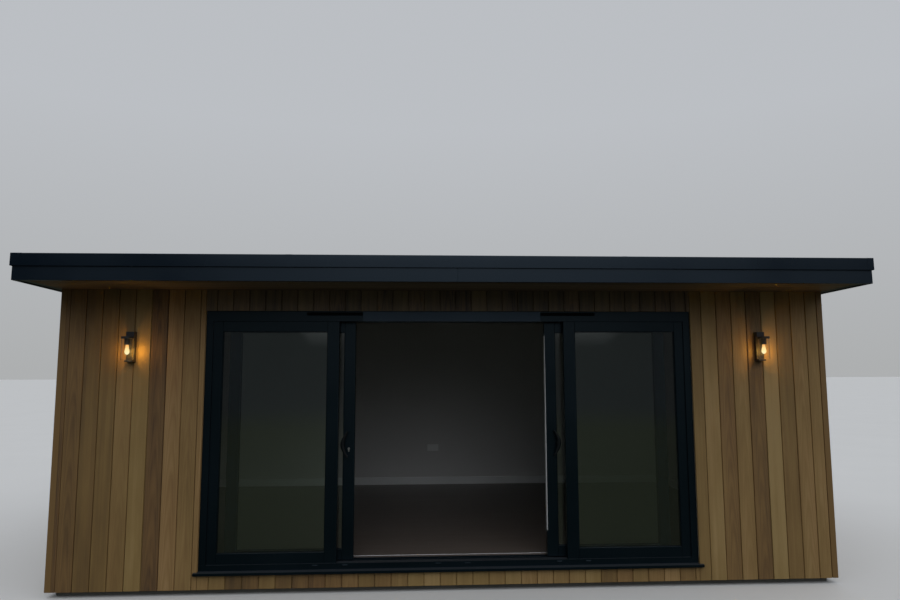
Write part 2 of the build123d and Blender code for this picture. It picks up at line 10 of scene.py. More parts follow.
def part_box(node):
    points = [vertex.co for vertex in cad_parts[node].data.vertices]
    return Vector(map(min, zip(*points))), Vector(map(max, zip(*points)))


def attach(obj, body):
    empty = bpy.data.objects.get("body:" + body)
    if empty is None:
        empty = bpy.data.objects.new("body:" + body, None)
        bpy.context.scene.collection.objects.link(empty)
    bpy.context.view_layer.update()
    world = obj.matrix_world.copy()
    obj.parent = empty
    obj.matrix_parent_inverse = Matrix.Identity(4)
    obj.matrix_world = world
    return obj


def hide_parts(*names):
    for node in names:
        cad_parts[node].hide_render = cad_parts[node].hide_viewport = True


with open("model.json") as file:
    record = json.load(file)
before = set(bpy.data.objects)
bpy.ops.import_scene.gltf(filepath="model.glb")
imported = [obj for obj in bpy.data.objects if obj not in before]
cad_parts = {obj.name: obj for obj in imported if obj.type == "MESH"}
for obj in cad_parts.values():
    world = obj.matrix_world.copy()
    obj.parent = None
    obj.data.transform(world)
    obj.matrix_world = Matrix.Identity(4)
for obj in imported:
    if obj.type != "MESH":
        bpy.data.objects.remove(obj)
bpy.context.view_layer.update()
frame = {"nodes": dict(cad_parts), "record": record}
nodes = frame["nodes"]
scene = bpy.context.scene


# Camera, light and floor

view = {
    "at": (-0.28933, -7.14575, 1.76078),
    "yaw": 2.8789,           # degrees to the right of straight on
    "pitch": 5.9263,
    "roll": -0.13815,
    "lens": 26,
    "sensor": 36,
    "reach": 200,            # how far it sees
}


def placeCamera():
    yaw, pitch, roll = (math.radians(view[turn]) for turn in ("yaw", "pitch", "roll"))
    ahead = Vector((math.sin(yaw) * math.cos(pitch), math.cos(yaw) * math.cos(pitch), math.sin(pitch)))
    level = Vector((math.cos(yaw), -math.sin(yaw), 0))
    upright = level.cross(ahead)
    right = math.cos(roll) * level + math.sin(roll) * upright
    up = right.cross(ahead)
    data = bpy.data.cameras.new("viewCamera")
    data.lens = view["lens"]
    data.sensor_width = view["sensor"]
    data.clip_end = view["reach"]
    camera = bpy.data.objects.new("viewCamera", data)
    camera.location = view["at"]
    camera.rotation_euler = Matrix((right, up, -ahead)).transposed().to_euler()
    scene.collection.objects.link(camera)
    scene.camera = camera


placeCamera()
print("camera placed")


# Node trees: a socket that can be used in sums, and one way of adding any other node

class Wire:
    def __init__(self, maker, socket):
        self.maker = maker
        self.socket = socket

    def sum(self, operation, first, second):
        return self.maker.node("ShaderNodeMath", {"operation": operation}, {0: first, 1: second})

    def __add__(self, other):
        return self.sum("ADD", self, other)

    def __sub__(self, other):
        return self.sum("SUBTRACT", self, other)

    def __mul__(self, other):
        return self.sum("MULTIPLY", self, other)

    def __truediv__(self, other):
        return self.sum("DIVIDE", self, other)


class Maker:
    def __init__(self, tree):
        self.tree = tree

    def node(self, kind, settings=None, sockets=None, out=0):
        made = self.tree.nodes.new(kind)
        for key, value in (settings or {}).items():
            if key == "stops":
                while len(made.color_ramp.elements) < len(value):
                    made.color_ramp.elements.new(0.5)
                for stop, (place, colour) in zip(made.color_ramp.elements, value):
                    stop.position = place
                    stop.color = (*colour, 1)
            else:
                setattr(made, key, value)
        for key, value in (sockets or {}).items():
            if isinstance(value, Wire):
                self.tree.links.new(value.socket, made.inputs[key])
            else:
                made.inputs[key].default_value = value
        return Wire(self, made.outputs[out]) if made.outputs else None

    def vector(self, operation, first, second):
        return self.node("ShaderNodeVectorMath", {"operation": operation}, {0: first, 1: second})

    def blend(self, factor, first, second, mode="MIX"):
        first, second = ((*c, 1) if isinstance(c, tuple) else c for c in (first, second))
        settings = {"data_type": "RGBA", "blend_type": mode, "clamp_factor": True}
        return self.node("ShaderNodeMix", settings, {0: factor, 6: first, 7: second}, 2)

    def ramp(self, factor, *stops):
        return self.node("ShaderNodeValToRGB", {"stops": stops}, {0: factor})

    def spread(self, value, low, high, newLow=0.0, newHigh=1.0):
        sockets = {0: value, 1: low, 2: high, 3: newLow, 4: newHigh}
        return self.node("ShaderNodeMapRange", {"clamp": True}, sockets)

    def noise(self, where, scale, detail=3.0, roughness=0.5):
        sockets = {"Vector": where, "Scale": scale, "Detail": detail, "Roughness": roughness}
        return self.node("ShaderNodeTexNoise", {}, sockets)

    def stretched(self, where, stretch):
        return self.node("ShaderNodeMapping", {}, {"Vector": where, "Scale": stretch})

    def place(self):
        # the object's own coordinates
        return self.node("ShaderNodeTexCoord", {}, {}, 3)

    def named(self, name, out=2):
        # an attribute of the mesh, as a number or, with 1, as a vector
        return self.node("ShaderNodeAttribute", {"attribute_name": name}, {}, out)


class Finish(Maker):
    def __init__(self, name):
        self.material = bpy.data.materials.new(name)
        self.material.use_nodes = True
        super().__init__(self.material.node_tree)
        self.tree.nodes.clear()

    def bump(self, height, distance, strength):
        sockets = {"Height": height, "Distance": distance, "Strength": strength}
        return self.node("ShaderNodeBump", {}, sockets)

    def close(self, colour, roughness, **more):
        colour = (*colour, 1) if isinstance(colour, tuple) else colour
        sockets = {"Base Color": colour, "Roughness": roughness}
        sockets.update({key.replace("_", " "): value for key, value in more.items()})
        surface = self.node("ShaderNodeBsdfPrincipled", {}, sockets)
        self.node("ShaderNodeOutputMaterial", {}, {"Surface": surface})
        return self.material


def shaded(tone, share):
    return tuple(share * c for c in tone)


# Light: a soft overcast dome, dim along the horizon in front. Its lower half stands for what the ground
# throws back, because the plain pale floor is seen but lights nothing.

light = {
    "top": (1.12, 1.15, 1.20),
    "frontLow": (0.038, 0.043, 0.047),
    "frontRise": (0.03, 0.41),       # sine of the height where the dome starts and stops brightening
    "gapMiddle": 0.06,               # a low bright gap straight ahead of the door
    "gapSides": (0.22, 0.46),
    "sides": (-0.5, 0.5),            # sine of the far left and the far right
    "lift": (0.36, 0.14),            # how much higher the light starts there
    "behindLow": (0.42, 0.43, 0.435),
    "behindTop": (0.50, 0.52, 0.55),
    "behindRise": (0.0, 0.35),
    "turn": (-0.25, 0.25),           # how far round the front hands over to the back
    "below": (0.026, 0.027, 0.024),  # what comes up from straight below
    "belowFar": (0.046, 0.054, 0.038),   # and from the ground further off
    "belowRise": (-0.60, -0.22),
    "belowTurn": (-0.09, -0.06),
    "floorTone": (0.74, 0.74, 0.73),
    "floorDrift": 0.94,              # how far its tone drifts, in patches
    "floorPatches": 0.8,
    "floorRough": 0.7,
    "floorSize": 200,
    "look": "None",
    "exposure": 0.0,
}


def setSky():
    world = bpy.data.worlds.new("paleSky")
    world.use_nodes = True
    world.node_tree.nodes.clear()
    sky = Maker(world.node_tree)
    way = sky.node("ShaderNodeTexCoord", {}, {}, 0)
    across, back, height = (sky.node("ShaderNodeSeparateXYZ", {}, {0: way}, axis) for axis in range(3))
    beside = sky.node("ShaderNodeMath", {"operation": "ABSOLUTE"}, {0: across - light["gapMiddle"]})
    lift = sky.spread(beside, *light["gapSides"]) * sky.spread(across, *light["sides"], *light["lift"])
    front = sky.blend(sky.spread(height - lift, *light["frontRise"]), light["frontLow"], light["top"])
    behind = sky.blend(sky.spread(height, *light["behindRise"]), light["behindLow"], light["behindTop"])
    colour = sky.blend(sky.spread(back, *light["turn"]), front, behind)
    under = sky.blend(sky.spread(height, *light["belowRise"]), light["below"], light["belowFar"])
    colour = sky.blend(sky.spread(height, *light["belowTurn"]), under, colour)
    seen = sky.node("ShaderNodeLightPath", {}, {}, 0)
    colour = sky.blend(seen, colour, behind)        # the backdrop itself is plain and pale on every side
    lit = sky.node("ShaderNodeBackground", {}, {"Color": colour, "Strength": 1.0})
    sky.node("ShaderNodeOutputWorld", {}, {"Surface": lit})
    scene.world = world


def layFloor():
    half = light["floorSize"] / 2
    mesh = bpy.data.meshes.new("studioFloor")
    places = [(-half, -half, 0), (half, -half, 0), (half, half, 0), (-half, half, 0)]
    mesh.from_pydata(places, [], [(0, 1, 2, 3)])
    floor = bpy.data.objects.new("studioFloor", mesh)
    scene.collection.objects.link(floor)
    finish = Finish("floorPaint")
    patches = finish.noise(finish.place(), light["floorPatches"])
    shade = finish.blend(patches, light["floorTone"], shaded(light["floorTone"], light["floorDrift"]))
    mesh.materials.append(finish.close(shade, light["floorRough"]))
    floor.visible_diffuse = False
    floor.visible_glossy = False
    floor.visible_transmission = False
    floor.visible_shadow = False


setSky()
layFloor()
scene.view_settings.view_transform = "Standard"
scene.view_settings.look = light["look"]
scene.view_settings.exposure = light["exposure"]
print("sky and floor set")


# Finishes, one for each of the record's material slots and a few that single pieces need

cedarTones = (
    (0.00, (0.062, 0.042, 0.026)),
    (0.25, (0.180, 0.108, 0.042)),
    (0.50, (0.264, 0.163, 0.058)),
    (0.75, (0.348, 0.227, 0.083)),
    (1.00, (0.444, 0.303, 0.125)),
)


def cedar(name, shadeTint=None):
    # the tint given is painted shade: a cool tint multiplied into the colour of boards that lie in the shade
    # under the eaves
    f = Finish(name)
    tone = f.named("boardTone")
    seed = f.named("boardSeed")
    shift = f.node("ShaderNodeCombineXYZ", {}, {0: seed * 1.7, 1: seed * 0.9, 2: seed * 3.1})
    plain = f.named("grainAt", 1)
    where = f.vector("ADD", plain, shift)
    waver = f.noise(f.stretched(where, (2.2, 2.2, 0.55)), 1.6, 2.0)
    clouds = f.noise(f.stretched(where, (9, 9, 1.7)), 1.0, 3.0, 0.6)
    bands = f.noise(f.stretched(where, (34, 34, 0.45)), 1.0, 4.0, 0.62)
    lines = f.noise(f.stretched(where, (230, 230, 2.2)), 1.0, 3.0, 0.6)
    # rings cut flat show as arches: they crowd towards the edges and point along the board
    side = f.node("ShaderNodeSeparateXYZ", {}, {0: plain}, 0)
    along = f.node("ShaderNodeSeparateXYZ", {}, {0: where}, 2)
    turns = along * 3.4 + side * side * 900 + waver * 3.0 + clouds * 1.2
    rings = f.node("ShaderNodeMath", {"operation": "SINE"}, {0: turns * math.tau})
    pick = f.node("ShaderNodeTexWhiteNoise", {"noise_dimensions": "1D"}, {"W": seed})
    arched = rings * f.spread(pick, 0.35, 0.75, 0.0, 0.075)
    level = tone * 0.8 + 0.12 + (waver - 0.5) * 0.30 + (clouds - 0.5) * 0.55 + (bands - 0.5) * 0.50
    level = level + (lines - 0.5) * 0.16 + arched
    colour = f.ramp(level, *cedarTones)
    rosy = f.spread(pick * 0.6 + waver * 0.9, 0.55, 1.15, 0.0, 0.7)
    colour = f.blend(rosy, colour, f.blend(1.0, colour, (1.05, 0.91, 1.02), "MULTIPLY"))
    if shadeTint:
        colour = f.blend(1.0, colour, shadeTint, "MULTIPLY")
    grain = bands * 0.35 + lines * 0.65
    rough = f.spread(lines, 0.3, 0.7, 0.62, 0.46)
    return f.close(colour, rough, Normal=f.bump(grain, 0.0012, 0.55))


def black(name, tone, roughness, wear, speckle=900, paleShare=0.0, gloss=0.5, tint=(1.0, 1.0, 1.0)):
    # dark coated surfaces: a faint drift of tone, a fine speckle in the gloss and a paler grey on what faces
    # up
    f = Finish(name)
    where = f.place()
    drift = f.noise(where, 1.7, 2.0)
    fine = f.noise(where, speckle, 2.0)
    colour = f.blend(drift, tone, shaded(tone, wear))
    facingUp = f.node("ShaderNodeSeparateXYZ", {}, {0: f.node("ShaderNodeNewGeometry", {}, {}, "Normal")}, 2)
    colour = f.blend(f.spread(facingUp, 0.5, 0.95) * paleShare, colour, (0.30, 0.31, 0.34))
    rough = f.spread(drift, 0.3, 0.7, roughness - 0.05, roughness + 0.07)
    return f.close(colour, rough, Specular_IOR_Level=gloss, Specular_Tint=(*tint, 1),
                   Normal=f.bump(fine, 0.0002, 0.25))


def plaster():
    f = Finish("plaster")
    where = f.place()
    roller = f.noise(where, 260, 2.0)
    cloud = f.noise(where, 1.1, 2.0)
    colour = f.blend(cloud, (0.72, 0.71, 0.70), (0.68, 0.67, 0.66))
    return f.close(colour, 0.85, Normal=f.bump(roller, 0.0006, 0.35))


oakTones = (
    (0.1, (0.088, 0.070, 0.060)),
    (0.6, (0.112, 0.089, 0.075)),
    (1.0, (0.140, 0.112, 0.095)),
)


def darkOak():
    f = Finish("darkOak")
    seed = f.named("boardSeed")
    shift = f.node("ShaderNodeCombineXYZ", {}, {0: seed * 2.3, 1: seed, 2: seed * 4.1})
    where = f.vector("ADD", f.named("grainAt", 1), shift)
    bands = f.noise(f.stretched(where, (14, 14, 0.8)), 1.0, 3.0, 0.55)
    pores = f.noise(f.stretched(where, (260, 260, 7)), 1.0, 2.0)
    clouds = f.noise(f.place(), 1.3, 2.0)
    level = f.named("boardTone") * 0.22 + (bands - 0.5) * 0.28 + (clouds - 0.5) * 0.6
    level = level + (pores - 0.5) * 0.08 + 0.4
    colour = f.ramp(level, *oakTones)
    return f.close(colour, f.spread(bands, 0.3, 0.7, 0.30, 0.34), Normal=f.bump(pores, 0.0001, 0.2))


def concrete():
    f = Finish("concrete")
    where = f.place()
    cloud = f.noise(where, 3.5, 5.0, 0.6)
    grit = f.noise(where, 160, 3.0)
    # its tones are kept low, partly for damp concrete and partly as painted shade of the dark gap under the
    # boards
    colour = f.blend(cloud, (0.15, 0.147, 0.138), (0.24, 0.234, 0.22))
    return f.close(colour, 0.9, Normal=f.bump(grit * 0.7 + cloud * 0.3, 0.002, 0.5))


def rubber():
    f = Finish("roofRubber")
    where = f.place()
    paleShare = f.noise(where, 1.3, 5.0, 0.62)
    weave = f.noise(where, 420, 2.0)
    colour = f.blend(f.spread(paleShare, 0.4, 0.75), (0.030, 0.031, 0.033), (0.105, 0.105, 0.10))
    swell = f.noise(where, 2.6, 2.0)
    rough = f.spread(paleShare, 0.3, 0.7, 0.62, 0.85)
    return f.close(colour, rough, Normal=f.bump(weave * 0.15 + swell, 0.004, 0.35))


def timberCore():
    f = Finish("timberCore")
    where = f.place()
    flakes = f.node("ShaderNodeTexVoronoi", {}, {"Vector": where, "Scale": 45.0}, 1)
    grey = f.node("ShaderNodeSeparateColor", {}, {0: flakes}, 0)
    colour = f.blend(grey, (0.42, 0.30, 0.17), (0.58, 0.44, 0.28))
    return f.close(colour, 0.8, Normal=f.bump(grey, 0.0008, 0.4))


def glazing(name, tint, density):
    f = Finish(name)
    smear = f.noise(f.place(), 2.4, 3.0)
    return f.close(tint, f.spread(smear, 0.35, 0.8, 0.0, 0.012), Transmission_Weight=1.0, IOR=density)


def metal(name, tone, roughness, stretch, metallic=1.0):
    f = Finish(name)
    brushed = f.noise(f.stretched(f.place(), stretch), 1.0, 3.0)
    colour = f.blend(brushed, tone, shaded(tone, 0.8))
    rough = f.spread(brushed, 0.3, 0.7, roughness, roughness + 0.15)
    return f.close(colour, rough, Metallic=metallic, Normal=f.bump(brushed, 0.0002, 0.3))


def painted(name, tone, roughness):
    f = Finish(name)
    where = f.place()
    cloud = f.noise(where, 3.0, 2.0)
    fine = f.noise(where, 320, 2.0)
    colour = f.blend(cloud, tone, shaded(tone, 0.93))
    rough = f.spread(cloud, 0.3, 0.7, roughness - 0.04, roughness + 0.06)
    return f.close(colour, rough, Normal=f.bump(fine, 0.0003, 0.3))


def litGlass():
    f = Finish("lampBulb")
    height = f.node("ShaderNodeSeparateXYZ", {}, {0: f.place()}, 2)
    low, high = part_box("lamp_bulbs")[0].z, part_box("lamp_bulbs")[1].z
    heart = f.spread(height, low + 0.2 * (high - low), high, 1.0, 0.1)
    colour = f.ramp(heart, (0, (1.0, 0.42, 0.08)), (0.55, (1.0, 0.74, 0.32)), (1, (1.0, 0.88, 0.48)))
    return f.close((0.05, 0.03, 0.015), 0.2, Emission_Color=colour, Emission_Strength=1.08)


def brushSeal():
    f = Finish("brushSeal")
    pile = f.noise(f.stretched(f.place(), (900, 900, 120)), 1.0, 2.0)
    colour = f.blend(pile, (0.58, 0.59, 0.60), (0.70, 0.71, 0.72))
    return f.close(colour, 0.9, Normal=f.bump(pile, 0.001, 0.6))


blueSheen = (0.64, 0.82, 1.0)       # what the dark coats reflect has a cool cast
frameSheen = (0.62, 0.84, 1.0)
finishes = {
    "cedar": cedar("cedar"),
    "timber_core": timberCore(),
    "dark_oak": darkOak(),
    "plaster": plaster(),
    "concrete": concrete(),
    "membrane": rubber(),
    "fascia_black": black("fasciaBlack", (0.002, 0.006, 0.012), 0.34, 1.25,
                          paleShare=0.1, gloss=0.56, tint=blueSheen),
    "trim_black": black("trimBlack", (0.0015, 0.0055, 0.0115), 0.28, 1.2,
                        paleShare=0.1, gloss=0.53, tint=blueSheen),
    "gutter_black": black("gutterBlack", (0.012, 0.012, 0.013), 0.32, 1.3),
    "frame_black": black("frameBlack", (0.0006, 0.0035, 0.006), 0.34, 1.2, 1600,
                         paleShare=0.08, gloss=0.42, tint=frameSheen),
    "glazing": glazing("paneGlass", (0.90, 0.95, 0.92), 1.8),   # coated panes
    "bright_strip": metal("brightStrip", (0.86, 0.85, 0.86), 0.34, (3, 600, 600), 0.45),
    "white_wood": painted("skirtingPaint", (0.93, 0.94, 0.94), 0.42),
    "white_plastic": painted("socketPlastic", (0.95, 0.95, 0.94), 0.28),
    "lamp_black": black("lampBlack", (0.026, 0.026, 0.029), 0.45, 1.2, 1400),
    "lamp_glass": glazing("lampGlass", (0.97, 0.96, 0.93), 1.45),
    "lamp_bulb": litGlass(),
    "handle_black": black("handleBlack", (0.0025, 0.004, 0.0055), 0.36, 1.2, 1400, gloss=0.4),
    "lock_steel": metal("lockSteel", (0.60, 0.60, 0.60), 0.22, (400, 400, 400)),
    "seal_grey": brushSeal(),
}
# the soffit and the header boards are shaded copies of the cedar: painted shade of the eaves, in a cool tint
soffitCedar = cedar("soffitCedar", (0.92, 1.15, 2.2))
headerCedar = cedar("headerCedar", (1.05, 1.22, 1.8))
# the vents are darker and duller than the frame: painted shade of their slots
ventBlack = black("ventBlack", (0.0008, 0.002, 0.003), 0.6, 1.2, gloss=0.1)
coverBlack = black("coverBlack", (0.001, 0.0035, 0.006), 0.45, 1.2, gloss=0.25, tint=frameSheen)
# a painted reflection: the lighter blue-grey of the head's middle
trackGrey = black("trackGrey", (0.030, 0.044, 0.074), 0.34, 1.1, tint=frameSheen)

slotOf = {row["node"]: row["material_slot"] for row in frame["record"]["subparts"]}
for name, node in nodes.items():
    node.data.materials.clear()
    node.data.materials.append(finishes[slotOf[name]])
print("finishes made:", len(finishes))


# Helpers for pieces

def newObject(name, mesh):
    piece = bpy.data.objects.new(name, mesh)
    scene.collection.objects.link(piece)
    return piece


def settle(piece, body, slotName, *standsFor, finish=None):
    # a finished piece: its own finish or its slot's, its body, its slot and the nodes that it stands for
    piece.data.materials.clear()
    piece.data.materials.append(finish or finishes[slotName])
    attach(piece, body)
    if standsFor:
        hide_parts(*standsFor)
    return piece


def settled(piece):
    # the piece with its modifiers worked into a plain mesh
    shape = bpy.data.meshes.new_from_object(piece.evaluated_get(bpy.context.evaluated_depsgraph_get()))
    name = piece.name
    bpy.data.objects.remove(piece)
    shape.name = name
    return newObject(name, shape)


def fromBmesh(name, work):
    # only places and faces are carried over, so that no old normals or coordinates come along
    bmesh.ops.recalc_face_normals(work, faces=work.faces)
    places = {v: i for i, v in enumerate(work.verts)}
    mesh = bpy.data.meshes.new(name)
    faces = [[places[v] for v in face.verts] for face in work.faces]
    mesh.from_pydata([v.co.copy() for v in work.verts], [], faces)
    work.free()
    return newObject(name, mesh)


merge = {
    "within": 0.00003,               # places nearer than this become one
    "cut": 0.00001,                  # the same for a cut and for a turned shape's axis
    "flat": math.radians(0.5),       # facets that lie flatter than this become one face
    "sharp": math.radians(40),       # edges that are sharper than this are softened
}


def welded(source):
    # a working copy of a CAD node with its facets joined
    work = bmesh.new()
    work.from_mesh(nodes[source].data)
    bmesh.ops.remove_doubles(work, verts=work.verts, dist=merge["within"])
    return work


def flatten(work):
    bmesh.ops.dissolve_limit(work, angle_limit=merge["flat"], verts=work.verts, edges=work.edges)


def eased(name, width, source):
    # a copy of a CAD node with plain faces and softened edges
    work = welded(source)
    flatten(work)
    return beveled(fromBmesh(name, work), width)


def addBlock(work, low, high):
    spots = [(x, y, z) for x in (low[0], high[0]) for y in (low[1], high[1]) for z in (low[2], high[2])]
    corners = [work.verts.new(spot) for spot in spots]
    for a, b, c, d in ((0, 1, 3, 2), (4, 6, 7, 5), (0, 4, 5, 1), (2, 3, 7, 6), (0, 2, 6, 4), (1, 5, 7, 3)):
        work.faces.new([corners[i] for i in (a, b, c, d)])


def addSkin(work, rings):
    # faces from ring to ring and over both ends
    for one, two in zip(rings, rings[1:]):
        for i in range(len(one)):
            j = (i + 1) % len(one)
            work.faces.new((one[i], one[j], two[j], two[i]))
    work.faces.new(rings[0])
    work.faces.new(rings[-1])


def beveled(piece, width):
    piece.data.shade_smooth()
    bevel = piece.modifiers.new("softEdges", "BEVEL")
    bevel.width = width
    bevel.segments = 2
    bevel.limit_method = "ANGLE"
    bevel.angle_limit = merge["sharp"]
    bevel.harden_normals = True
    return settled(piece)


def turned(work, profile, centre, sides, closed=True):
    # a profile of (radius, height) points turned about an upright axis; an open one ends on the axis
    rings = []
    for step in range(sides):
        angle = math.tau * step / sides
        rings.append([work.verts.new((centre[0] + r * math.cos(angle), centre[1] + r * math.sin(angle), z))
                      for r, z in profile])
    for one, two in zip(rings, rings[1:] + rings[:1]):
        for i in range(len(profile) if closed else len(profile) - 1):
            j = (i + 1) % len(profile)
            work.faces.new((one[i], two[i], two[j], one[j]))


def slices(name, source, spans, width, axis=0):
    # the parts of a CAD node that lie between pairs of limits, each closed at its cuts
    work = bmesh.new()
    for limits in spans:
        part = welded(source)
        for limit, way in zip(limits, (-1, 1)):
            spot = [limit if i == axis else 0 for i in range(3)]
            outward = [way if i == axis else 0 for i in range(3)]
            everything = part.verts[:] + part.edges[:] + part.faces[:]
            cut = bmesh.ops.bisect_plane(part, geom=everything, dist=merge["cut"], plane_co=spot,
                                         plane_no=outward, clear_outer=True)
            rim = [e for e in cut["geom_cut"] if isinstance(e, bmesh.types.BMEdge)]
            if rim:
                bmesh.ops.edgeloop_fill(part, edges=rim)
        flatten(part)
        kept = bpy.data.meshes.new("slice")
        part.to_mesh(kept)
        part.free()
        work.from_mesh(kept)
    return beveled(fromBmesh(name, work), width)


def joined(name, *pieces):
    work = bmesh.new()
    for piece in pieces:
        work.from_mesh(piece.data)
        bpy.data.objects.remove(piece)
    mesh = bpy.data.meshes.new(name)
    work.to_mesh(mesh)
    work.free()
    return newObject(name, mesh)


def addGrain(piece, along, tone, seed):
    # the attributes that the wood finishes read, for a piece whose boards aren't made by the board tree
    mesh = piece.data
    grain = mesh.attributes.new("grainAt", "FLOAT_VECTOR", "POINT")
    tones = mesh.attributes.new("boardTone", "FLOAT", "POINT")
    seeds = mesh.attributes.new("boardSeed", "FLOAT", "POINT")
    order = {"x": (1, 2, 0), "z": (0, 1, 2)}[along]
    for i, vertex in enumerate(mesh.vertices):
        grain.data[i].vector = [vertex.co[axis] for axis in order]
        tones.data[i].value = tone
        seeds.data[i].value = seed


# Boards: each vertex of the plan becomes one board

def newTree(name, inputs):
    group = bpy.data.node_groups.new(name, "GeometryNodeTree")
    kinds = {float: "Float", int: "Int", str: "Material", type(None): "Object"}
    group.interface.new_socket("Plan", in_out="INPUT", socket_type="NodeSocketGeometry")
    for label, value in inputs.items():
        kind = f"NodeSocket{kinds[type(value)]}"
        socket = group.interface.new_socket(label, in_out="INPUT", socket_type=kind)
        if isinstance(value, (int, float)):
            socket.default_value = value
    group.interface.new_socket("Result", in_out="OUTPUT", socket_type="NodeSocketGeometry")
    maker = Maker(group)
    entry = group.nodes.new("NodeGroupInput")
    return maker, {socket.name: Wire(maker, socket) for socket in entry.outputs if socket.name}


def closeTree(maker, shape, finish):
    real = maker.node("GeometryNodeRealizeInstances", {}, {"Geometry": shape})
    made = maker.node("GeometryNodeSetMaterial", {}, {"Geometry": real, "Material": finish})
    leave = maker.tree.nodes.new("NodeGroupOutput")
    maker.tree.links.new(made.socket, leave.inputs[0])
    return maker.tree


def runTree(group, plan, values):
    modifier = plan.modifiers.new("repeat", "NODES")
    modifier.node_group = group
    for socket in group.interface.items_tree:
        if socket.item_type == "SOCKET" and socket.in_out == "INPUT" and socket.name in values:
            modifier[socket.identifier] = values[socket.name]
    return settled(plan)


def boardTree():
    maker, given = newTree("boards", {
        "Cover": 0.13, "Gap": 0.006, "Thickness": 0.02, "Chamfer": 0.003, "Tongue": 0.008,
        "Height": 2.0, "Proud": 0.0006, "Seed": 1, "Finish": "",
    })
    node = maker.node
    cover, gap, thick = given["Cover"], given["Gap"], given["Thickness"]
    height, tongue = given["Height"], given["Tongue"]
    stem = node("GeometryNodeCurvePrimitiveLine", {}, {"End": node("ShaderNodeCombineXYZ", {}, {2: height})})

    def bar(width, depth, across, inward, chamfer=None):
        outline = node("GeometryNodeCurvePrimitiveQuadrilateral", {}, {0: width, 1: depth})
        if chamfer:
            outline = node("GeometryNodeFilletCurve", {"mode": "POLY"},
                           {"Curve": outline, "Radius": chamfer, "Count": 1})
        solid = node("GeometryNodeCurveToMesh", {},
                     {"Curve": stem, "Profile Curve": outline, "Fill Caps": True})
        place = node("ShaderNodeCombineXYZ", {}, {0: across, 1: inward})
        return node("GeometryNodeTransform", {}, {"Geometry": solid, "Translation": place})

    # the board itself, and the tongue that closes the gap to the next one from behind
    body = bar(cover - gap, thick, gap * -0.5, thick * 0.5, given["Chamfer"])
    key = bar(gap * 2.0, tongue, cover * 0.5 - gap * 0.5, thick * 0.72)
    blank = maker.tree.nodes.new("GeometryNodeJoinGeometry")
    for part in (body, key):
        maker.tree.links.new(part.socket, blank.inputs[0])
    blank = node("GeometryNodeSetShadeSmooth", {}, {0: Wire(maker, blank.outputs[0]), 2: False})
    here = node("GeometryNodeInputPosition")
    blank = node("GeometryNodeStoreNamedAttribute", {"data_type": "FLOAT_VECTOR"},
                 {"Geometry": blank, "Name": "grainAt", "Value": here})

    def chance(high, turn):
        sockets = {2: 0.0, 3: high, "Seed": given["Seed"] + turn}
        return node("FunctionNodeRandomValue", {"data_type": "FLOAT"}, sockets, 1)

    points = node("GeometryNodeStoreNamedAttribute", {"data_type": "FLOAT"},
                  {"Geometry": given["Plan"], "Name": "boardSeed", "Value": chance(40.0, 1)})
    lift = node("ShaderNodeCombineXYZ", {}, {1: given["Proud"] * chance(1.0, 2)})
    points = node("GeometryNodeSetPosition", {}, {"Geometry": points, "Offset": lift})
    width = node("GeometryNodeInputNamedAttribute", {"data_type": "FLOAT"}, {"Name": "boardWidth"})
    tall = node("GeometryNodeInputNamedAttribute", {"data_type": "FLOAT"}, {"Name": "boardHeight"})
    size = node("ShaderNodeCombineXYZ", {}, {0: width / cover, 1: 1.0, 2: tall / height})
    many = node("GeometryNodeInstanceOnPoints", {}, {"Points": points, "Instance": blank, "Scale": size})
    return closeTree(maker, many, given["Finish"])


def copiesTree():
    maker, given = newTree("copies", {"Blank": None, "Finish": ""})
    blank = maker.node("GeometryNodeObjectInfo", {}, {"Object": given["Blank"]}, "Geometry")
    many = maker.node("GeometryNodeInstanceOnPoints", {}, {"Points": given["Plan"], "Instance": blank})
    return closeTree(maker, many, given["Finish"])


boards = {
    "cover": 0.1292,          # from one board's edge to the next
    "firstEdge": -3.072,      # where the first whole board starts on the front
    "gap": 0.006,
    "chamfer": 0.0028,
    "tongue": 0.008,
    "proud": 0.0006,          # how far single boards stand back from the face at most
    "joint": 0.0,             # between the ends of two boards in a row
    "stagger": 0.382,         # how far the joints shift from one row to the next
    "topGap": 0.0008,
    "least": 0.004,           # no board is narrower
    "shortest": 0.01,
    "sideEdge": 0.04,         # how far in from the corner the boards start on the side walls
    # tones on the front, from 0 dark to 9 pale, picked from the cut board at the left end on
    "frontTones": "2334671767" "52252223545679677787" "8788455685" "585739577",
    # the header boards get only dark tones: painted shade under the eaves
    "headerShadeTones": "1112112111" "2111121112" "1211112111" "1111211111" "1121121",
    "otherTones": (0.1, 0.95, 0.6),      # lowest, highest and most common tone elsewhere
    "seed": 11,
}
boardGroup = boardTree()
copyGroup = copiesTree()
toneRandom = random.Random(boards["seed"])


def copies(name, blank, places, body, slotName, finish=None):
    # one blank at each of the places
    plan = bpy.data.meshes.new(name)
    plan.from_pydata(places, [], [])
    piece = runTree(copyGroup, newObject(name, plan), {"Blank": blank, "Finish": finishes[slotName]})
    bpy.data.objects.remove(blank)
    settle(piece, body, slotName, finish=finish)


def cuts(low, high, first, cover):
    # the stretches of board between two limits, each with its place in the run
    edges, index = [], math.floor((low - first) / cover)
    while first + index * cover < high - boards["least"] / 2:
        left, right = max(low, first + index * cover), min(high, first + (index + 1) * cover)
        if right - left > boards["least"]:
            edges.append((left, right, index))
        index += 1
    return edges


